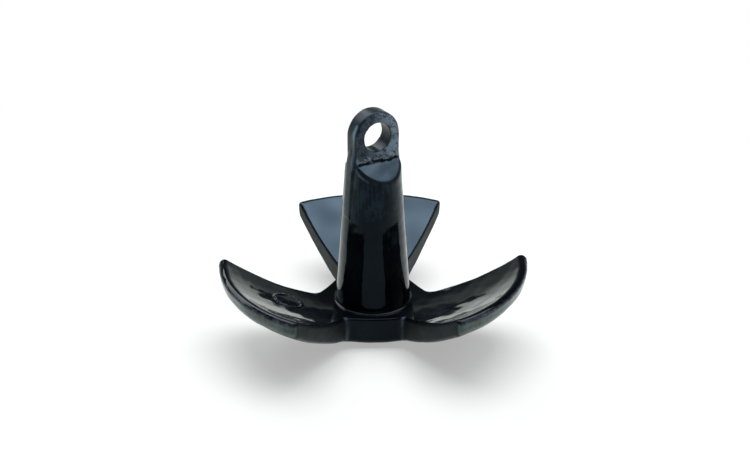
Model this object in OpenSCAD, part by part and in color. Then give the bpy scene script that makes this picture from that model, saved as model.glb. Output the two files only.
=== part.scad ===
// River anchor: one coated iron casting.
// Three flukes are cut from a shallow bowl and meet in a flat-sided hub. A tapered round shank rises
// from the hub and ends in a flat eye plate, with sloped shoulders where the round becomes flat.
// The origin is on the shank's axis, in the plane of the underside, and one fluke points along -X.

/* [Flukes] */
// Number of flukes round the hub
fluke_count = 3; // [3:1:4]
// Distance from the axis to the rim of a fluke
fluke_r = 125; // [112:1:140]
// Angle that one fluke spans in plan
fluke_angle = 60; // [46:1:76]
// Radius of the dished upper face
dish_r = 202; // [180:1:260]
// Radius of the arc that the underside follows, in section
keel_r = 294; // [260:2:380]
// Width of the sloping land along the rim
rim_land_w = 4.7; // [3:0.1:8]
// Fall of that land, from the edge of the dish to the rim
rim_land_fall = 1.5; // [0.8:0.1:3]
// Height of the face below the rim
rim_face_h = 10.8; // [8:0.1:16]
// How far the face below the rim runs inwards on its way down
rim_draft = 1.5; // [0.6:0.1:3]
// Radius of the two outer corners of a fluke
tip_corner_r = 2.7; // [1.5:0.1:6]
// Width of the bevel along the upper edges
edge_bevel = 2; // [1:0.1:3]
// Width of the bevel along the lower edges of the flukes
keel_bevel = 2.4; // [1:0.1:3.5]

/* [Hub] */
// Distance from the axis to each flat side between two flukes
hub_flat_r = 40.5; // [36:0.5:48]
// Thickness of the casting at these flats
hub_depth = 21.8; // [17:0.1:27]
// Radius of the level spot that the anchor stands on
seat_r = 24; // [15:0.5:30]
// Radius in the corners between a flat and a fluke
hub_corner_r = 4.5; // [1:0.1:6]

/* [Shank] */
// Diameter of the shank at the hub
shank_base_d = 61.2; // [52:0.1:66]
// Diameter of the shank at its broad shoulders
shank_top_d = 43.3; // [41.5:0.1:50]
// Radius of the fillet between shank and dish
shank_fillet_r = 4; // [2:0.1:8]

/* [Shoulders] */
// Height of the line where a broad shoulder meets the eye plate
shoulder_z = 150; // [135:0.5:154]
// Slope of the two broad shoulders
shoulder_slope = 39.4; // [30:0.1:50]
// Height of the line where a narrow shoulder meets the edge of the eye plate
side_shoulder_z = 150; // [132:0.1:156]
// Slope of the two narrow shoulders
side_shoulder_slope = 80; // [70:0.5:84]

/* [Eye] */
// Width of the eye plate
eye_w = 38.8; // [34:0.1:41]
// Thickness of the eye plate
eye_t = 14.8; // [9:0.1:18]
// Bore of the eye
eye_bore_d = 25; // [15:0.1:27]
// Height of the bore's centre above the underside
eye_z = 170.2; // [167:0.1:185]
// Distance from the bore's centre up to the centre of the plate's round top
eye_crown = 1.8; // [0:0.1:5]
// Radius of the plate's edges
eye_edge_r = 2.5; // [1:0.1:4]
// Radius of the rims of the bore
bore_edge_r = 1.5; // [0.5:0.1:2.5]

/* [Raised ring] */
// Outside diameter of the plain ring cast on one fluke
ring_d = 25; // [14:0.5:30]
// Width of the ring's bead
ring_w = 2; // [1.2:0.1:3]
// Height of the ring above the dish
ring_h = 0.8; // [0.4:0.1:1.5]
// Distance from the axis to the ring's centre
ring_pos_r = 75; // [68:1:95]
// Angle from the middle of the fluke to the ring's centre
ring_pos_angle = -8; // [-10:1:10]

/* [Hidden] */
coat_colour = "#1d2429";

// Directions round the axis: the first fluke lies in line with the eye plate
first_fluke = 180;
fluke_pitch = 360 / fluke_count;
half_fluke = fluke_angle / 2;
half_gap = (fluke_pitch - fluke_angle) / 2;

// Facets for OpenSCAD's own preview of the round forms
fine = 360;
medium = 96;
// Straight steps in each small rounding
arc_steps = 6;
// How far a cutting shape reaches past what it cuts
reach = 5;
// How far a face that is hidden inside another form lies under its surface
hidden = 0.5;
// How far from the corner at the hub the bevels of a fluke begin
bevel_lead = 0.6;

// Section of the bowl, drawn with the lowest point of the dish at height 0
function dish_height(r) = dish_r - sqrt(dish_r * dish_r - r * r);
rim_z = dish_height(fluke_r - rim_land_w) - rim_land_fall;
rim_foot = [fluke_r - rim_draft, rim_z - rim_face_h];
hub_foot = [hub_flat_r, dish_height(hub_flat_r) - hub_depth];

// Centre of a circle of radius r whose lower side runs from p to q
function arc_centre(p, q, r) =
    let (chord = q - p, half = norm(chord) / 2)
    (p + q) / 2 + [-chord.y, chord.x] / norm(chord) * sqrt(r * r - half * half);
keel_c = arc_centre(hub_foot, rim_foot, keel_r);

// Height of the dish's lowest point above the underside
dish_z = sqrt(keel_r * keel_r - pow(seat_r - keel_c.x, 2)) - keel_c.y;
dish_centre_z = dish_z + dish_r;

// Shank: radius at the dish's lowest point and fall of radius per unit of height
shank_base_r = shank_base_d / 2;
shank_taper = (shank_base_r - shank_top_d / 2) / (shoulder_z - dish_z);
function shank_r(z) = shank_base_r - shank_taper * (z - dish_z);
// Height at which the bar ends, inside the eye plate
shank_end_z = max(shoulder_z + tan(shoulder_slope) * eye_edge_r,
                  side_shoulder_z + tan(side_shoulder_slope) * hidden);

// Plane geometry
function polar(r, a) = r * [cos(a), sin(a)];
function arc(c, r, a0, a1) =
    [for (i = [0 : arc_steps]) c + polar(r, a0 + (a1 - a0) * i / arc_steps)];
function turned(points, a) =
    [for (p = points) [p.x * cos(a) - p.y * sin(a), p.x * sin(a) + p.y * cos(a)]];
function mirrored(points) = [for (p = points) [p.x, -p.y]];
function reversed(points) = [for (i = [len(points) - 1 : -1 : 0]) points[i]];

// Level seat, keel arc, face below the rim, land along the rim, and dish
module bowl_section() {
    face_run = rim_draft / rim_face_h;
    land_run = rim_land_fall / rim_land_w;
    difference() {
        intersection() {
            polygon([[0, 0],
                     [fluke_r - face_run * (dish_z + rim_z), 0],
                     [fluke_r, dish_z + rim_z],
                     [0, dish_z + rim_z + land_run * fluke_r]]);
            translate([keel_c.x, keel_c.y + dish_z]) circle(keel_r, $fn = fine);
        }
        translate([0, dish_centre_z]) circle(dish_r, $fn = fine);
    }
}

// Tapered bar with a fillet at its foot, which is sunk into the hub
module shank_section() {
    foot_z = dish_z + dish_height(shank_base_r);
    fillet_top_z = foot_z + shank_fillet_r;
    fillet_c = [shank_r(fillet_top_z) + shank_fillet_r, fillet_top_z];
    fillet_end = 270 - 2 * asin(shank_base_r / dish_r);
    polygon(concat(
        [[0, dish_z / 2], [shank_base_r, dish_z / 2]],
        reversed(arc(fillet_c, shank_fillet_r, 180, fillet_end)),
        [[shank_r(shank_end_z), shank_end_z], [0, shank_end_z]]));
}

// Upper side of a fluke that points along +X, from the hub outwards: the rounded corner at the hub
// and the rounded corner at the tip. That arc ends short of its full angle, so that it crosses the rim.
hub_corner_s = (hub_flat_r + hub_corner_r * (1 - sin(half_gap))) / cos(half_gap);
hub_corner_c = turned([[hub_corner_s, hub_corner_r]], half_fluke)[0];
tip_corner_a = half_fluke - asin(tip_corner_r / (fluke_r - tip_corner_r));
tip_corner_c = polar(fluke_r - tip_corner_r, tip_corner_a);
tip_short_a = 12;
tip_last_a = tip_corner_a + tip_short_a;
fluke_side = concat(
    arc(hub_corner_c, hub_corner_r, half_fluke + half_gap - 180, half_fluke - 90),
    arc(tip_corner_c, tip_corner_r, half_fluke + 90, tip_last_a));
tip_end = tip_corner_c + polar(tip_corner_r, tip_last_a);
fluke_apex = [tip_end.x + tip_end.y * tan(tip_last_a), 0];

module plan() {
    fluke = concat(mirrored(fluke_side), [fluke_apex], reversed(fluke_side));
    polygon([for (i = [0 : fluke_count - 1])
             each turned(fluke, first_fluke + i * fluke_pitch)]);
}

// Ring turned round the X axis from angle a0 to angle a1, where angle 0 points down. Its section has
// the distance from that axis as x and the place along it as y.
module ring_cutter(section, a0, a1) {
    rotate([0, 90, 0])
    rotate([0, 0, a0])
    rotate_extrude(angle = a1 - a0, $fn = fine)
    polygon(section);
}

// Bevels the edge between the dish and an upright face that looks along +X, s from the dish's centre
module dish_bevel(s, a0, a1) {
    edge_r = sqrt(dish_r * dish_r - s * s);
    inner_r = sqrt(dish_r * dish_r - pow(s - edge_bevel, 2));
    low = [edge_r + edge_bevel, s];
    back = [inner_r, s - edge_bevel];
    past = (low - back) / edge_bevel;
    translate([0, 0, dish_centre_z])
    ring_cutter([low + past, back - past, [inner_r - reach, s + past.y]], a0, a1);
}

// Bevels the edge between the keel and the side of a fluke. The side looks along +X, and the fluke
// points along +Y or -Y.
module keel_bevel_cutter(along) {
    from = along * asin((hub_corner_s + bevel_lead - keel_c.x) / keel_r);
    to = along * asin((fluke_r + reach - keel_c.x) / keel_r);
    past = [1, -1];
    translate([0, along * keel_c.x, dish_z + keel_c.y])
    ring_cutter([[keel_r - keel_bevel, 0] - past, [keel_r + past.x, -past.y],
                 [keel_r, -keel_bevel] + past], min(from, to), max(from, to));
}

module edge_bevels() {
    side_from = asin((hub_corner_s + bevel_lead) / dish_r);
    side_to = asin((fluke_r + reach) / dish_r);
    flat_half = asin(hub_flat_r * tan(half_gap) / dish_r);
    for (i = [0 : fluke_count - 1])
    rotate([0, 0, first_fluke + i * fluke_pitch]) {
        rotate([0, 0, half_fluke + 90]) {
            dish_bevel(0, -side_to, -side_from);
            keel_bevel_cutter(-1);
        }
        rotate([0, 0, -half_fluke - 90]) {
            dish_bevel(0, side_from, side_to);
            keel_bevel_cutter(1);
        }
        rotate([0, 0, fluke_pitch / 2]) dish_bevel(hub_flat_r, -flat_half, flat_half);
    }
}

// Bowl and shank, turned in one piece and cut to the plan of the flukes and the hub
module turned_form() {
    intersection() {
        rotate_extrude($fn = fine) {
            bowl_section();
            shank_section();
        }
        linear_extrude(shank_end_z + reach) plan();
    }
}

// Blocks above a pair of sloped planes that meet the faces at distance half either side of the middle.
// The planes run on into the plate by inset.
module shoulder_cutters(half, z, slope, inset) {
    rise = tan(slope);
    inner = half - inset;
    outer = shank_base_r + reach;
    above = shank_end_z + reach;
    for (side = [0, 180])
    rotate([90, 0, side])
    translate([0, 0, -outer])
    linear_extrude(2 * outer)
    polygon([[inner, z + rise * (half - inner)], [outer, z - rise * (outer - half)],
             [outer, above], [inner, above]]);
}

// Plate with rounded edges: half a disc on top of a straight part that runs down into the shank
module eye_plate() {
    w = eye_w / 2;
    t = eye_t / 2;
    e = eye_edge_r;
    top_z = eye_z + eye_crown;
    foot_z = shoulder_z - eye_w;
    half_section = concat([[0, -t]], arc([w - e, e - t], e, -90, 0), arc([w - e, t - e], e, 0, 90),
                          [[0, t]]);
    translate([0, 0, foot_z]) linear_extrude(top_z - foot_z) {
        polygon(half_section);
        mirror([1, 0]) polygon(half_section);
    }
    translate([0, 0, top_z])
    rotate([90, 0, 0])
    rotate_extrude(angle = 180, $fn = medium)
    polygon(half_section);
}

// Bore along Y, with rounded rims
module eye_bore() {
    r = eye_bore_d / 2;
    t = eye_t / 2;
    e = bore_edge_r;
    translate([0, 0, eye_z])
    rotate([90, 0, 0])
    rotate_extrude($fn = medium)
    polygon(concat([[0, -t - reach], [r + e, -t - reach]], arc([r + e, e - t], e, 270, 180),
                   arc([r + e, t - e], e, 180, 90), [[r + e, t + reach], [0, t + reach]]));
}

// Plain ring on the dish of the first fluke, square to the surface there
module raised_ring() {
    tilt = asin(ring_pos_r / dish_r);
    outer = ring_d / 2;
    inner = outer - ring_w;
    flank = ring_w / 4;
    base = dish_height(outer);
    translate([0, 0, dish_centre_z])
    rotate([0, 0, first_fluke + ring_pos_angle])
    rotate([0, -tilt, 0])
    translate([0, 0, -dish_r])
    rotate_extrude($fn = medium)
    polygon([[inner, -hidden], [outer, -hidden], [outer, base],
             [outer - flank, base + ring_h], [inner + flank, base + ring_h], [inner, base]]);
}

module anchor() {
    color(coat_colour)
    difference() {
        union() {
            difference() {
                turned_form();
                edge_bevels();
                rotate([0, 0, 90]) shoulder_cutters(eye_t / 2, shoulder_z, shoulder_slope, eye_edge_r + hidden);
                shoulder_cutters(eye_w / 2, side_shoulder_z, side_shoulder_slope, hidden);
            }
            eye_plate();
            raised_ring();
        }
        eye_bore();
    }
}

anchor();
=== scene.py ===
"""River anchor in a small studio: the coated casting, a pale floor, soft lights and the camera.

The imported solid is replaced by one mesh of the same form, which is taken from a distance field: each
form is a signed distance in millimetres, negative inside, and forms are joined and cut with rounded
edges, as a thick dip coating rounds them.
"""
import bpy
import numpy as np
from math import asin, atan, cos, hypot, pi, radians, sin, sqrt, tan
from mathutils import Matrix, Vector


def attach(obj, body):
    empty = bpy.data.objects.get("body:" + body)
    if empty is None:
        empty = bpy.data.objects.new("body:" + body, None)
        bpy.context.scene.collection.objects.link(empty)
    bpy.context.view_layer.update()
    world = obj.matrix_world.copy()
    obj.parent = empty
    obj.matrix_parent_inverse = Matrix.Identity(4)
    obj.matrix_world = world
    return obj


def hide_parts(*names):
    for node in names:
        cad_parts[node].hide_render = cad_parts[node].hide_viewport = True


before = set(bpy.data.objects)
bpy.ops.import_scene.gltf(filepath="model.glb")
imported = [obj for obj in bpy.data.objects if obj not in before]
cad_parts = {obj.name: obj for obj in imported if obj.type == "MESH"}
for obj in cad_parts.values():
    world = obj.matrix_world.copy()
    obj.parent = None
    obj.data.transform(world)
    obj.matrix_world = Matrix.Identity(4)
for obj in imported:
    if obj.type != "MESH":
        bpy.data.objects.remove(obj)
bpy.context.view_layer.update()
MM = 0.001

# Sizes of the casting in millimetres, as in part.scad, but for the crown of the eye, which is 1.8 there
# and stands too high for the photograph
FLUKE_R = 125.0
HALF_FLUKE = radians(30)
DISH_R = 202.0
KEEL_R = 294.0
LAND_W, LAND_FALL = 4.7, 1.5
RIM_H, RIM_DRAFT = 10.8, 1.5
HUB_FLAT_R, HUB_DEPTH, SEAT_R = 40.5, 21.8, 24.0
SHANK_BASE_R, SHANK_TOP_R = 30.6, 21.65
SHOULDER_Z, SHOULDER_SLOPE = 150.0, radians(39.4)
SIDE_Z, SIDE_SLOPE = 150.0, radians(80)
EYE_W, EYE_T = 38.8, 14.8
EYE_Z, EYE_CROWN, BORE_R = 170.2, 0.8, 12.5
RING_R, RING_MINOR, RING_RISE = 11.5, 1.2, 1.1
RING_POS_R, RING_POS_A = 75.0, radians(172)
GAPS = [radians(a) for a in (0, 120, 240)]
BACK_A = radians(60)

# Coat over the flukes and the eye, coat over the shank, and how much wider the flukes look by it
COAT, SHANK_COAT, EXTRA_WIDTH = 0.6, 0.3, 0.8

# Radii of the coated edges; the eye plate's foot is sharp on the broad faces and soft on the narrow ones
ROUND_UPPER, ROUND_LOWER, ROUND_TIP, ROUND_LAND = 1.9, 2.8, 3.4, 1.6
ROUND_HUB, ROUND_FOOT, ROUND_BASE = 4.5, 2.4, 1.5
ROUND_SHOULDER, ROUND_SIDE = 1.6, 1.5
ROUND_EYE, ROUND_BORE, ROUND_RING = 2.2, 1.8, 0.5
EYE_FOOT_SHARP, EYE_FOOT_SOFT = 0.6, 7.6

# Smooth noises of the coat: wavelength in millimetres, and seed
WAVES = {
    "slow": (34, 1), "ripple": (11, 2), "cast": (6, 3), "pits": (2.8, 4), "foot": (6, 5),
    "groove": (4, 6), "ridge": (3.4, 7), "parting": (6, 8), "parting fine": (3, 9),
    "cast foot": (7, 11), "crest_glint": (3, 12), "film": (26, 21), "film edge": (9, 22),
    "painted_reflection": (30, 31), "highlight_break": (9, 41), "parting wear": (5, 42), "rim_sheen": (12, 43), "scuff fine": (4, 44)}

GRID_X, GRID_Y, GRID_Z = (-129, -22, 22, 112), (-129, -10, 10, 129), (-2.3, 140, 195)
COARSE, FINE = ((1.32, 0.93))

# Colours of the coat
BLACK, BLUE = (0.0014, 0.0018, 0.0022), (0.0034, 0.0048, 0.0064)
FILM_DARK, FILM_LIGHT = (0.002, 0.003, 0.004), (0.011, 0.024, 0.033)
# painted reflection: dark metallic tint of the back fluke's dish and the broad shoulders
PAINTED_REFLECTION_TINT = (0.035, 0.049, 0.062)
FLANK_DARK, FLANK_LIGHT = (0.002, 0.003, 0.004), (0.008, 0.010, 0.012)
SKIN_DARK, SKIN_LIGHT = (0.014, 0.019, 0.026), (0.26, 0.33, 0.42)
# painted shade of the eye's skin towards -X, and the pale painted glints on its ridge
SKIN_SHADE, CREST_GLINT = (0.016, 0.022, 0.025), (0.34, 0.42, 0.53)
# painted reflection: greys of the rims' outer faces
RIM_SHEEN_DARK, RIM_SHEEN_LIGHT = (0.060, 0.086, 0.084), (0.092, 0.118, 0.112)
# painted highlights along edges, corners and the parting line
EDGE_HIGHLIGHT, RIM_HIGHLIGHT = (0.15, 0.22, 0.31), (0.14, 0.15, 0.19)
GROOVE_DARK = (0.002, 0.002, 0.003)

# Gloss of the coat, and what each kind of mark adds to its roughness
COAT_IOR, COAT_TINT = 1.5, (0.12, 0.17, 0.23, 1)
ROUGH_COAT, ROUGH_SKIN = (0.05, 0.09), (0.15, 0.34)
ROUGH_FILM, ROUGH_PAINTED_SHEEN, ROUGH_FLANK, ROUGH_EYE, ROUGH_GROOVE = 0.10, 0.12, 0.42, 0.18, 0.4

# Floor, world and lamps; the fades are in metres from the origin and in height of the view direction
FLOOR_HALF, FLOOR_Z = 6.0, -0.0002
FLOOR_COLOUR, FLOOR_ROUGH, FLOOR_SHINE = (0.90, 0.90, 0.85), 0.8, 0.1
WHITE, GLOSS_WHITE = (1.0, 1.0, 1.0), (0.91, 1.0, 0.94)
FLOOR_FADE, FLOOR_GLOW = (0.15, 0.65), 0.4
LOW_SKY, HIGH_SKY = (0.24, 0.27, 0.26), (0.045, 0.052, 0.058)
LOW_FADE, HIGH_FADE = (-0.02, 0.22), (0.26, 0.40)
WORLD_FILL = (0.12, 0.12, 0.12)
LAMP_COLOUR, LAMP_TARGET = (0.95, 1.0, 1.05), Vector((0, 0, 0.07))

# Softboxes: radiance, azimuth and elevation in degrees, distance, width and height in metres
SOFTBOXES = {
    "top_softbox": (4.0, 140, 76, 1.5, 1.6, 1.6),
    "right_softbox": (2.0, 57, 52, 1.5, 0.8, 0.8),
    "back_softbox": (3.4, 188, 37, 1.6, 1.3, 0.5)}

# Camera: direction in degrees, distance and target in metres, lens in millimetres
VIEW_AZIMUTH, VIEW_ELEVATION, VIEW_DISTANCE = -31.7, 27.11, 1.1172
VIEW_TARGET, VIEW_LENS, VIEW_SENSOR = Vector((0, 0, 0.0719)), 66.0, 36
VIEW_SHIFT = (0.0026, 0.0236)


def dish_height(r):
    return DISH_R - sqrt(DISH_R ** 2 - r * r)


def arc_centre(p, q, r):
    """Centre of the arc of radius r from p to q that bulges downwards."""
    dx, dz = q[0] - p[0], q[1] - p[1]
    chord = hypot(dx, dz)
    up = sqrt(r * r - chord * chord / 4)
    return (p[0] + q[0]) / 2 - dz / chord * up, (p[1] + q[1]) / 2 + dx / chord * up


# Heights that follow from the sizes; the keel's arc is found from the dish's lowest point first
RIM_Z = dish_height(FLUKE_R - LAND_W) - LAND_FALL
RIM_FOOT = (FLUKE_R - RIM_DRAFT, RIM_Z - RIM_H)
HUB_FOOT = (HUB_FLAT_R, dish_height(HUB_FLAT_R) - HUB_DEPTH)
KEEL_X, keel_up = arc_centre(HUB_FOOT, RIM_FOOT, KEEL_R)
DISH_Z = sqrt(KEEL_R ** 2 - (SEAT_R - KEEL_X) ** 2) - keel_up
KEEL_Z = DISH_Z + keel_up
DISH_CENTRE_Z = DISH_Z + DISH_R
RIM_TOP_Z = DISH_Z + RIM_Z


# Steps and humps
def smooth(x, low, high):
    """0 up to low and 1 from high on."""
    t = np.clip((x - low) / (high - low), 0, 1)
    return t * t * (3 - 2 * t)


def fade(x, start, end):
    """1 up to the start and 0 from the end on."""
    return smooth(-x, -end, -start)


def band(x, a, b, c, d):
    """Rises from a to b and falls from c to d."""
    return smooth(x, a, b) * fade(x, c, d)


def hump(x, width):
    """1 at 0, and falls away on both sides."""
    return np.exp(-(x / width) ** 2)


# Rounded cuts and joins of distances
def cut(a, b, r):
    """Where both are negative, with the edge rounded to radius r."""
    return np.minimum(-r, np.maximum(a, b)) + np.hypot(np.maximum(r + a, 0), np.maximum(r + b, 0))


def join(a, b, r):
    """Where either is negative, with the corner filled to radius r."""
    return -cut(-a, -b, r)


# Form of the casting
def across_gap(x, y, a):
    """Distance along the middle line of the gap at angle a, and away from that line."""
    return x * cos(a) + y * sin(a), np.abs(y * cos(a) - x * sin(a))


def side_plane(u, v):
    """Distance from the plane of a fluke's flat side, for a place across a gap."""
    return v * cos(HALF_FLUKE) - u * sin(HALF_FLUKE) + EXTRA_WIDTH


def shoulder_depth(y, z):
    """Distance from the plane of the nearer broad shoulder."""
    return (np.abs(y) - EYE_T / 2) * sin(SHOULDER_SLOPE) + (z - SHOULDER_Z) * cos(SHOULDER_SLOPE)


def parting_distance(x, y, z):
    """Distance from the parting line, along the upper edges of the rims."""
    return np.hypot(np.hypot(x, y) - FLUKE_R - COAT, z - RIM_TOP_Z)


def flukes(x, y, z, r):
    """Bowl cut to three flukes and the flat sides of the hub."""
    plan = np.full(np.broadcast(x, y).shape, -1e3)
    for a in GAPS:
        u, v = across_gap(x, y, a)
        plan = np.maximum(plan, -cut(HUB_FLAT_R - u, side_plane(u, v), ROUND_HUB))
    draft = atan(RIM_DRAFT / RIM_H)
    face = (r - FLUKE_R) * cos(draft) - (z - RIM_TOP_Z) * sin(draft)
    fall = atan(LAND_FALL / LAND_W)
    land = (z - RIM_TOP_Z) * cos(fall) + (r - FLUKE_R) * sin(fall)
    dish = DISH_R - np.hypot(r, z - DISH_CENTRE_Z)
    keel = np.hypot(r - KEEL_X, z - KEEL_Z) - KEEL_R
    lower = cut(cut(plan, face, ROUND_TIP), keel, ROUND_LOWER)
    bowl = cut(lower, cut(dish, land, ROUND_LAND), ROUND_UPPER)
    return cut(bowl - COAT, -z, ROUND_BASE)


def shank(x, y, z, r):
    """Tapered bar with two broad and two narrow shoulders."""
    fall = (SHANK_BASE_R - SHANK_TOP_R) / (SHOULDER_Z - DISH_Z)
    bar = (r - SHANK_BASE_R + fall * (z - DISH_Z)) * cos(atan(fall))
    side = (np.abs(x) - EYE_W / 2) * sin(SIDE_SLOPE) + (z - SIDE_Z) * cos(SIDE_SLOPE)
    bar = cut(cut(bar, side, ROUND_SIDE), shoulder_depth(y, z), ROUND_SHOULDER)
    return np.maximum(bar - SHANK_COAT, DISH_Z / 2 - z)


def eye(x, y, z):
    """Plate with a round top and rounded edges, which runs down into the shank."""
    outline = np.hypot(x, np.maximum(z - EYE_Z - EYE_CROWN, 0)) - EYE_W / 2
    plate = cut(outline, np.abs(y) - EYE_T / 2, ROUND_EYE)
    return np.maximum(plate - COAT, SHOULDER_Z - EYE_W - z)


def raised_ring(x, y, z):
    """Half-sunk round bead on the dish of the fluke that points along -X."""
    lean = asin(RING_POS_R / DISH_R)
    out = (sin(lean) * cos(RING_POS_A), sin(lean) * sin(RING_POS_A), -cos(lean))
    up = z - DISH_CENTRE_Z
    depth = x * out[0] + y * out[1] + up * out[2]
    square = x * x + y * y + up * up
    away = np.sqrt(np.maximum(square - depth * depth, 0))
    lift = np.sqrt(square) - DISH_R + COAT - RING_MINOR + RING_RISE
    on_far_side = np.where(depth > 0, 0, 50)
    return np.hypot(away - RING_R, lift) - RING_MINOR + on_far_side


def casting(x, y, z):
    """The whole form, before the unevenness of its coat."""
    r = np.hypot(x, y)
    body = join(flukes(x, y, z, r), shank(x, y, z, r), ROUND_FOOT)
    narrow = smooth(np.abs(x), EYE_W * 0.42, EYE_W * 0.50) * fade(np.abs(y), EYE_T / 4, EYE_T / 2)
    body = join(body, eye(x, y, z), EYE_FOOT_SHARP + (EYE_FOOT_SOFT - EYE_FOOT_SHARP) * narrow)
    body = cut(body, BORE_R - COAT - np.hypot(x, z - EYE_Z), ROUND_BORE)
    return join(body, raised_ring(x, y, z), ROUND_RING)


# Marks of the coat, from 0 to 1 at each point of the mesh
def wave(p, name):
    """Seeded smooth noise of the named wavelength, with mean 0 and deviation 1."""
    length, seed = WAVES[name]
    count = 22
    rng = np.random.default_rng(seed)
    way = rng.normal(size=(count, 3))
    way /= np.linalg.norm(way, axis=1, keepdims=True)
    way *= (2 * pi / (length * rng.uniform(0.7, 1.45, count)))[:, None]
    return np.sin(p @ way.T + rng.uniform(0, 2 * pi, count)).sum(1) * sqrt(2 / count)


def cast_skin(p):
    """The eye's broad faces above their foot, where the cast skin shows through the coat."""
    x, y, z = p.T
    foot = SHOULDER_Z + 0.8 + 0.7 * wave(p, "cast foot")
    front = smooth(np.abs(y) - COAT, EYE_T / 2 - 1.3, EYE_T / 2 - 0.4)
    return front * smooth(z, foot - 1.0, foot + 1.0)


def film(p):
    """The upper shank, where the coat is duller, with a cloudy lower limit."""
    x, y, z = p.T
    limit = 96 + 7 * wave(p, "film") + 4 * wave(p, "film edge")
    return smooth(z, limit - 12, limit + 22) * fade(np.hypot(x, y), 34, 40)


def cups(p):
    """The dishes of the flukes."""
    x, y, z = p.T
    r = np.hypot(x, y)
    depth = np.abs(DISH_R - COAT - np.hypot(r, z - DISH_CENTRE_Z))
    return fade(depth, 0.5, 1.2) * band(r, 36, 44, FLUKE_R - 6, FLUKE_R - 1)


def painted_reflection(p):
    """Painted reflection: the dish of the fluke at the back and the broad shoulders, which are made
    metallic so that they reflect more than the same coat elsewhere.
    """
    x, y, z = p.T
    dish = cups(p) * smooth(x * cos(BACK_A) + y * sin(BACK_A), 30, 44)
    depth = np.abs(shoulder_depth(y, z) - SHANK_COAT)
    shoulder = fade(depth, 0.5, 1.1) * band(z, 120, 128, SHOULDER_Z - 1, SHOULDER_Z + 1)
    return np.maximum(dish, 0.95 * shoulder) * (0.88 + 0.08 * wave(p, "painted_reflection"))


def hub_corners(x, y, z):
    """The upright corners between the flat sides of the hub and the flukes."""
    corner = np.zeros(len(x))
    for a in GAPS:
        u, v = across_gap(x, y, a)
        off = np.hypot(u - HUB_FLAT_R - 1.2, v - HUB_FLAT_R * tan(HALF_FLUKE) + 0.4)
        corner = np.maximum(corner, hump(off, 1.5))
    return corner * fade(z, 29, 32)


def painted_edge_highlights(p):
    """Painted highlights along edges and corners, along the parting line of the rims, and in a stripe
    beside the front of the eye.
    """
    x, y, z = p.T
    plate = hump(np.hypot(np.abs(x) - EYE_W / 2, np.abs(y) - EYE_T / 2), 0.9) * band(z, 140, 148, 176, 182)
    shoulder = hump(shoulder_depth(y, z) + 2.3, 0.7) * smooth(np.abs(x), EYE_W * 0.30, EYE_W * 0.42)
    shoulder *= band(z, SHOULDER_Z - 14, SHOULDER_Z - 6, SHOULDER_Z - 4, SHOULDER_Z)
    stripe = hump(y + 3.6, 1.5) * smooth(-x, EYE_W / 2 - 4, EYE_W / 2 - 2) * band(z, 141, 147, 181, 186)
    stripe *= 0.6 + 0.4 * np.cos((z - 178) / 4.5)
    line = 0.3 * plate + 0.8 * shoulder + 0.7 * hub_corners(x, y, z) + 1.7 * stripe
    parting = hump(parting_distance(x, y, z), 1.1) * (0.55 + 0.2 * wave(p, "parting wear"))
    return np.clip(line * (0.75 + 0.3 * wave(p, "highlight_break")) + parting, 0, 1)


def flanks(p):
    """The flat sides of the flukes, which keep more of the cast skin."""
    x, y, z = p.T
    face = np.zeros(len(x))
    for a in GAPS:
        u, v = across_gap(x, y, a)
        off = np.abs(side_plane(u, v) + COAT)
        face = np.maximum(face, fade(off, 0.4, 0.9) * smooth(u, HUB_FLAT_R, HUB_FLAT_R + 3))
    return face


def painted_rim_sheen(p):
    """Painted reflection: the outer faces of the rims are coloured grey, as if a bright floor shone in
    them.
    """
    x, y, z = p.T
    face = smooth(np.hypot(x, y), FLUKE_R - 3.0, FLUKE_R - 1.6) * fade(z, RIM_TOP_Z - 2, RIM_TOP_Z)
    return face * np.clip(0.8 + 0.15 * wave(p, "rim_sheen") + 0.10 * wave(p, "scuff fine"), 0, 1)


def painted_crest_glints(p):
    """Painted highlight: pale ragged glints on the ridge just above the groove at the foot of the eye."""
    x, y, z = p.T
    up = z - SHOULDER_Z - 3.0 - 0.9 * wave(p, "foot") - 0.6 * wave(p, "crest_glint")
    return hump(up, 1.3) * smooth(np.abs(y), EYE_T / 2 - 1, EYE_T / 2)


def groove(p):
    """The ragged line at the foot of the eye's broad faces."""
    x, y, z = p.T
    foot = np.hypot(np.abs(y) - EYE_T / 2, z - SHOULDER_Z - 0.9 - 0.7 * wave(p, "foot"))
    return fade(np.abs(x), EYE_W / 2 - 2, EYE_W / 2) * hump(foot, 1.3)


MASKS = {"cast": cast_skin, "film": film, "painted_reflection": painted_reflection, "edge_highlight": painted_edge_highlights, "cup": cups,
         "groove": groove, "rim_sheen": painted_rim_sheen, "flank": flanks, "crest_glint": painted_crest_glints}


def lift(p):
    """Height of the uneven coat over the form, in millimetres."""
    x, y, z = p.T
    height = 0.10 * wave(p, "slow") + 0.035 * wave(p, "ripple")
    height += cast_skin(p) * (0.10 * wave(p, "cast") + 0.07 * wave(p, "pits"))
    height -= groove(p) * (0.75 + 0.3 * wave(p, "groove"))
    ridge = band(z, SHOULDER_Z + 1, SHOULDER_Z + 2, SHOULDER_Z + 4, SHOULDER_Z + 9)
    ridge *= fade(np.abs(x), EYE_W / 2 - 3, EYE_W / 2)
    height += ridge * (0.15 + 0.22 * wave(p, "ridge"))
    uneven = 0.25 + 0.10 * wave(p, "parting") + 0.04 * wave(p, "parting fine")
    return height + hump(parting_distance(x, y, z), 1.3) * uneven


def coated(x, y, z):
    """The form with its uneven coat, which is even again at the foot."""
    return casting(x, y, z) - lift(np.stack([x, y, z], 1)) * smooth(z, 0.4, 4)


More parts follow.
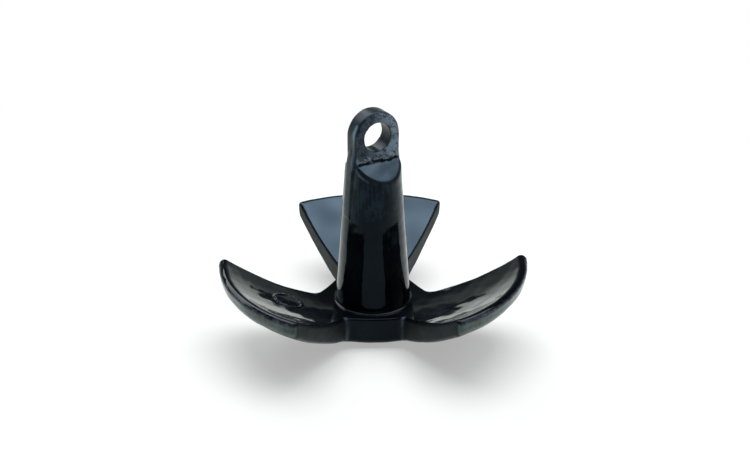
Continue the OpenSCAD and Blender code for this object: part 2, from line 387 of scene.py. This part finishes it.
# Mesh on the zero surface of a distance
def surface(distance, xs, ys, zs):
    """One point in each cell of the grid that the surface crosses, and quads between them."""
    f = distance(xs[:, None, None], ys[None, :, None], zs[None, None, :]).astype(np.float32)
    inside = f < 0
    corners = [(i, j, k) for i in (0, 1) for j in (0, 1) for k in (0, 1)]
    cells = tuple(n - 1 for n in f.shape)
    part = [inside[i:i + cells[0], j:j + cells[1], k:k + cells[2]] for i, j, k in corners]
    total = sum(p.astype(np.int8) for p in part)
    at = np.argwhere((total > 0) & (total < 8))
    value = {c: f[at[:, 0] + c[0], at[:, 1] + c[1], at[:, 2] + c[2]] for c in corners}
    place = {c: np.stack([xs[at[:, 0] + c[0]], ys[at[:, 1] + c[1]], zs[at[:, 2] + c[2]]], 1)
             for c in corners}
    points, hits = np.zeros((len(at), 3)), np.zeros(len(at))
    for c in corners:
        for axis in (n for n in range(3) if not c[n]):
            d = tuple(v + (n == axis) for n, v in enumerate(c))
            a, b = value[c], value[d]
            hit = (a < 0) != (b < 0)
            t = np.where(hit, a / np.where(hit, a - b, 1), 0)[:, None]
            points += np.where(hit[:, None], place[c] + t * (place[d] - place[c]), 0)
            hits += hit
    points /= hits[:, None]
    number = np.full(cells, -1, np.int32)
    number[tuple(at.T)] = np.arange(len(at))
    return points, surface_quads(inside, number)


def surface_quads(inside, number):
    """A quad around each edge of the grid that the surface crosses, facing outwards."""
    faces = []
    for axis in range(3):
        b, c = (axis + 1) % 3, (axis + 2) % 3
        low = [slice(0, -1) if n == axis else slice(1, -1) for n in range(3)]
        high = [slice(1, None) if n == axis else slice(1, -1) for n in range(3)]
        first, last = inside[tuple(low)], inside[tuple(high)]
        edge = np.argwhere(first != last)
        out = first[tuple(edge.T)]
        edge[:, b] += 1
        edge[:, c] += 1
        ring = []
        for db, dc in ((-1, -1), (0, -1), (0, 0), (-1, 0)):
            e = edge.copy()
            e[:, b] += db
            e[:, c] += dc
            ring.append(number[tuple(e.T)])
        quad = np.stack(ring, 1)
        quad[~out] = quad[~out][:, ::-1]
        faces.append(quad)
    return np.concatenate(faces)


def slope(distance, p, h=0.02):
    """Gradient of a distance, from differences over h to each side."""
    g = np.empty_like(p)
    for n in range(3):
        d = np.zeros(3)
        d[n] = h
        g[:, n] = (distance(*(p + d).T) - distance(*(p - d).T)) / (2 * h)
    return g


def settle(distance, points, rounds, reach):
    """Moves the points onto the zero surface, by at most the reach in each round."""
    for _ in range(rounds):
        g = slope(distance, points)
        move = distance(*points.T)[:, None] * g / np.maximum((g * g).sum(1), 0.05)[:, None]
        points -= np.clip(move, -reach, reach)


def spread(ends, spacings):
    """Grid values through the ends, with about the given spacing in each stretch."""
    values = [ends[0]]
    for end, spacing in zip(ends[1:], spacings):
        count = int(np.ceil((end - values[-1]) / spacing))
        values += list(np.linspace(values[-1], end, count + 1)[1:])
    return np.array(values)


def build_anchor():
    """Mesh of the casting, with the marks of its coat as attributes."""
    xs = spread(GRID_X, (COARSE, FINE, COARSE))
    ys = spread(GRID_Y, (COARSE, FINE, COARSE))
    zs = spread(GRID_Z, (COARSE, FINE))
    points, faces = surface(casting, xs, ys, zs)
    settle(casting, points, 3, 0.6)
    settle(coated, points, 2, 0.4)
    normals = slope(coated, points, 0.12)
    normals /= np.linalg.norm(normals, axis=1, keepdims=True)
    mesh = bpy.data.meshes.new("river_anchor")
    mesh.from_pydata((points * MM).tolist(), [], faces.tolist())
    mesh.polygons.foreach_set("use_smooth", np.ones(len(faces), bool))
    for name, mask in MASKS.items():
        attribute = mesh.attributes.new(name, "FLOAT", "POINT")
        attribute.data.foreach_set("value", mask(points).astype(np.float32))
    mesh.update()
    mesh.normals_split_custom_set_from_vertices(normals.tolist())
    piece = bpy.data.objects.new("river_anchor", mesh)
    bpy.context.scene.collection.objects.link(piece)
    print("anchor mesh:", len(points), "points,", 2 * len(faces), "triangles")
    return piece


# Materials
class Nodes:
    """Short calls to add and link the shader nodes of a material or world."""

    def __init__(self, owner):
        owner.use_nodes = True
        self.tree = owner.node_tree
        self.tree.nodes.clear()

    def add(self, kind, **settings):
        node = self.tree.nodes.new(kind)
        for name, value in settings.items():
            if hasattr(node, name):
                setattr(node, name, value)
            else:
                node.inputs[name.replace("_", " ")].default_value = value
        return node

    def feed(self, item, socket):
        """Link the output of a node, or write a number or a colour."""
        if isinstance(item, (tuple, list)):
            socket.default_value = (*item, 1)
        elif isinstance(item, (int, float)):
            socket.default_value = item
        else:
            self.tree.links.new(item, socket)

    def value(self, operation, a, b, clamp=False):
        node = self.add("ShaderNodeMath", operation=operation, use_clamp=clamp)
        self.feed(a, node.inputs[0])
        self.feed(b, node.inputs[1])
        return node.outputs[0]

    def times(self, a, b):
        return self.value("MULTIPLY", a, b)

    def plus(self, a, b):
        return self.value("ADD", a, b)

    def ramp(self, source, low, high, to_low=0.0, to_high=1.0):
        node = self.add("ShaderNodeMapRange", interpolation_type="SMOOTHSTEP",
                        From_Min=low, From_Max=high, To_Min=to_low, To_Max=to_high)
        self.feed(source, node.inputs["Value"])
        return node.outputs["Result"]

    def mix(self, factor, a, b):
        node = self.add("ShaderNodeMix", data_type="RGBA")
        for name, item in (("Factor_Float", factor), ("A_Color", a), ("B_Color", b)):
            self.feed(item, next(s for s in node.inputs if s.identifier == name))
        return next(s for s in node.outputs if s.identifier == "Result_Color")

    def mix_shader(self, factor, a, b):
        node = self.add("ShaderNodeMixShader")
        for socket, item in zip(node.inputs, (factor, a, b)):
            self.feed(item, socket)
        return node.outputs[0]

    def noise(self, vector, scale, detail, roughness):
        node = self.add("ShaderNodeTexNoise", Scale=scale, Detail=detail, Roughness=roughness)
        self.feed(vector, node.inputs["Vector"])
        return node.outputs[0]

    def bump(self, height, distance, strength, normal=None):
        node = self.add("ShaderNodeBump", Distance=distance)
        self.feed(height, node.inputs["Height"])
        self.feed(strength, node.inputs["Strength"])
        if normal:
            self.feed(normal, node.inputs["Normal"])
        return node.outputs["Normal"]

    def split(self, vector):
        node = self.add("ShaderNodeSeparateXYZ")
        self.feed(vector, node.inputs[0])
        return node.outputs

    def camera_ray(self):
        return self.add("ShaderNodeLightPath").outputs["Is Camera Ray"]

    def shown(self):
        """1 for what the camera sees, straight or in a gloss or through glass."""
        path = self.add("ShaderNodeLightPath").outputs
        seen = self.value("MAXIMUM", path["Is Camera Ray"], path["Is Glossy Ray"])
        return self.value("MAXIMUM", seen, path["Is Transmission Ray"])

    def finish(self, surface, kind="ShaderNodeOutputMaterial"):
        self.feed(surface, self.add(kind).inputs["Surface"])


def coat_textures(n):
    """Places on the object, in metres, and the noises that the coat's colour and relief share."""
    where = n.add("ShaderNodeTexCoord").outputs["Object"]
    x, y, z = n.split(where)
    radius = n.value("SQRT", n.plus(n.times(x, x), n.times(y, y)), 0)

    # Streaks that run out along each fluke, and upright streaks
    polar = n.add("ShaderNodeCombineXYZ")
    n.feed(n.times(n.value("ARCTAN2", y, x), 0.075), polar.inputs[0])
    n.feed(n.times(radius, 0.10), polar.inputs[1])
    tall = n.add("ShaderNodeVectorMath", operation="MULTIPLY")
    tall.inputs[1].default_value = (1, 1, 0.12)
    n.feed(where, tall.inputs[0])
    return {"x": x, "z": z, "radius": radius,
            "cloud": n.noise(where, 28, 4, 0.55),
            "blotch": n.noise(where, 110, 5, 0.55),
            "speck": n.noise(where, 190, 3, 0.6),
            "grain": n.noise(where, 620, 6, 0.65),
            "streak": n.noise(polar.outputs[0], 420, 3, 0.6),
            "upright": n.noise(tall.outputs[0], 360, 3, 0.6)}


def eye_colour(n, texture, mark):
    """Mottled cast skin, with painted shade towards -X and pale painted glints on the ridge at its foot.
    """
    mottle = n.plus(n.times(texture["grain"], 0.5), n.times(texture["speck"], 0.5))
    skin = n.mix(n.ramp(mottle, 0.40, 0.56), SKIN_DARK, SKIN_LIGHT)
    # painted shade: the skin darkens towards -X
    skin = n.mix(n.ramp(texture["x"], -0.012, 0.014), n.mix(0.80, skin, SKIN_SHADE), skin)
    # painted highlight: pale glints on the ridge at the eye's foot
    return n.mix(n.times(mark["crest_glint"], n.ramp(texture["grain"], 0.42, 0.55)), skin, CREST_GLINT)


def coat_colour(n, texture, mark):
    blotch, upright = texture["blotch"], texture["upright"]
    colour = n.mix(n.ramp(texture["cloud"], 0.35, 0.7), BLACK, BLUE)
    dull = n.mix(n.ramp(n.plus(blotch, upright), 0.85, 1.15), FILM_DARK, FILM_LIGHT)
    colour = n.mix(n.times(mark["film"], 0.8), colour, dull)
    # painted reflection: the metallic places take a dark tint
    colour = n.mix(mark["painted_reflection"], colour, PAINTED_REFLECTION_TINT)
    flank = n.mix(n.ramp(upright, 0.4, 0.7), FLANK_DARK, FLANK_LIGHT)
    colour = n.mix(n.times(mark["flank"], 0.8), colour, flank)
    # painted reflection on the outer faces of the rims
    colour = n.mix(mark["rim_sheen"], colour, n.mix(n.ramp(blotch, 0.3, 0.7), RIM_SHEEN_DARK, RIM_SHEEN_LIGHT))
    colour = n.mix(n.times(mark["cast"], 0.9), colour, eye_colour(n, texture, mark))
    # painted highlights: bluish on the eye and the hub, greyer out at the rims
    edge_glint = n.mix(n.ramp(texture["radius"], 0.100, 0.110), EDGE_HIGHLIGHT, RIM_HIGHLIGHT)
    colour = n.mix(n.times(mark["edge_highlight"], n.ramp(blotch, 0.25, 0.6, 0.35, 1.0)), colour, edge_glint)
    return n.mix(n.ramp(mark["groove"], 0.25, 0.7), colour, GROOVE_DARK)


def coat_roughness(n, texture, mark):
    """Roughness of the plain coat, and what the marks add."""
    added = (n.times(mark["film"], ROUGH_FILM),
             n.times(n.value("MAXIMUM", mark["painted_reflection"], mark["rim_sheen"]), ROUGH_PAINTED_SHEEN),
             n.times(mark["flank"], ROUGH_FLANK),
             n.ramp(texture["z"], 0.153, 0.163, 0.0, ROUGH_EYE),
             n.times(mark["cast"], n.ramp(texture["blotch"], 0.3, 0.7, *ROUGH_SKIN)),
             n.times(mark["groove"], ROUGH_GROOVE))
    rough = n.ramp(texture["cloud"], 0.2, 0.8, *ROUGH_COAT)
    for item in added:
        rough = n.value("ADD", rough, item, clamp=True)
    return rough


def coat_normal(n, texture, mark):
    """Grain on the eye, a slightly soft skin all over, and streaks in the dishes."""
    skin = n.bump(texture["grain"], 0.0006, n.plus(mark["cast"], 0.02))
    soft = n.bump(texture["blotch"], 0.0004, 0.07, skin)
    return n.bump(texture["streak"], 0.0003, n.times(mark["cup"], 0.10), soft)


def coat_material():
    """Thick black dip coating: glossy, slightly uneven, duller up the shank and rough on the eye."""
    material = bpy.data.materials.new("coating")
    n = Nodes(material)
    texture = coat_textures(n)
    mark = {name: n.add("ShaderNodeAttribute", attribute_name=name).outputs["Fac"] for name in MASKS}
    shader = n.add("ShaderNodeBsdfPrincipled", IOR=COAT_IOR)
    shader.inputs["Specular IOR Level"].default_value = 0.5
    shader.inputs["Specular Tint"].default_value = COAT_TINT
    n.feed(coat_colour(n, texture, mark), shader.inputs["Base Color"])
    n.feed(coat_roughness(n, texture, mark), shader.inputs["Roughness"])
    # Painted reflection: the marked places are metallic, so they mirror the lamps more brightly than the
    # rest of the coat
    n.feed(mark["painted_reflection"], shader.inputs["Metallic"])
    n.feed(coat_normal(n, texture, mark), shader.inputs["Normal"])
    n.finish(shader.outputs[0])
    return material


def floor_material():
    """Pale floor that keeps the shadow near the object and is evenly white further away.

    It is clear from below, so that the underside of the object shows.
    """
    material = bpy.data.materials.new("studio_floor")
    n = Nodes(material)
    shader = n.add("ShaderNodeBsdfPrincipled", Roughness=FLOOR_ROUGH)
    shader.inputs["Base Color"].default_value = (*FLOOR_COLOUR, 1)
    shader.inputs["Specular IOR Level"].default_value = FLOOR_SHINE
    glow = n.add("ShaderNodeEmission")
    n.feed(n.mix(n.camera_ray(), GLOSS_WHITE, WHITE), glow.inputs["Color"])
    length = n.add("ShaderNodeVectorMath", operation="LENGTH")
    n.feed(n.add("ShaderNodeTexCoord").outputs["Object"], length.inputs[0])
    away = n.ramp(length.outputs["Value"], *FLOOR_FADE, FLOOR_GLOW, 1.0)
    top = n.mix_shader(n.times(away, n.shown()), shader.outputs[0], glow.outputs[0])
    below = n.add("ShaderNodeNewGeometry").outputs["Backfacing"]
    n.finish(n.mix_shader(below, top, n.add("ShaderNodeBsdfTransparent").outputs[0]))
    return material


# Studio
def build_floor():
    """Large square just under the object, so that the two don't share a plane."""
    ends = (-FLOOR_HALF, FLOOR_HALF)
    mesh = bpy.data.meshes.new("studio_floor")
    mesh.from_pydata([(x, y, FLOOR_Z) for y in ends for x in ends], [], [(0, 1, 3, 2)])
    floor = bpy.data.objects.new("studio_floor", mesh)
    bpy.context.scene.collection.objects.link(floor)
    mesh.materials.append(floor_material())


def build_world():
    """White to the camera; glosses see it fade to a dark ceiling, and it fills the shade a little."""
    world = bpy.data.worlds.new("studio_world")
    bpy.context.scene.world = world
    n = Nodes(world)
    height = n.split(n.add("ShaderNodeTexCoord").outputs["Generated"])[2]
    low = n.mix(n.ramp(height, *LOW_FADE), GLOSS_WHITE, LOW_SKY)
    ceiling = n.mix(n.ramp(height, *HIGH_FADE), low, HIGH_SKY)
    backdrop = n.mix(n.camera_ray(), ceiling, WHITE)
    back = n.add("ShaderNodeBackground")
    n.feed(n.mix(n.shown(), WORLD_FILL, backdrop), back.inputs["Color"])
    n.finish(back.outputs[0], "ShaderNodeOutputWorld")


def stand(item, target, azimuth, elevation, distance):
    """Puts a lamp or camera in a direction from its target; azimuth 0 is along -Y, and 90 along +X."""
    a, e = radians(azimuth), radians(elevation)
    way = Vector((sin(a) * cos(e), -cos(a) * cos(e), sin(e)))
    item.location = target + way * distance
    item.rotation_euler = way.to_track_quat("Z", "Y").to_euler()
    bpy.context.scene.collection.objects.link(item)


def add_softbox(name, radiance, azimuth, elevation, distance, width, height):
    light = bpy.data.lights.new(name, "AREA")
    light.shape = "RECTANGLE"
    light.size, light.size_y = width, height
    light.energy = radiance * pi * width * height
    light.color = LAMP_COLOUR
    lamp = bpy.data.objects.new(name, light)
    lamp.visible_camera = False
    stand(lamp, LAMP_TARGET, azimuth, elevation, distance)


def build_camera():
    """Camera at the photograph's viewing angle, aimed at a point on the shank's axis."""
    data = bpy.data.cameras.new("photo_view")
    data.sensor_width = VIEW_SENSOR
    data.lens = VIEW_LENS
    data.shift_x, data.shift_y = VIEW_SHIFT
    camera = bpy.data.objects.new("photo_view", data)
    stand(camera, VIEW_TARGET, VIEW_AZIMUTH, VIEW_ELEVATION, VIEW_DISTANCE)
    bpy.context.scene.camera = camera


build_camera()
anchor = build_anchor()
anchor.data.materials.append(coat_material())
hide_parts("anchor")
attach(anchor, "root")

build_floor()
build_world()
for name, softbox in SOFTBOXES.items():
    add_softbox(name, *softbox)
bpy.context.scene.view_settings.view_transform = "Standard"
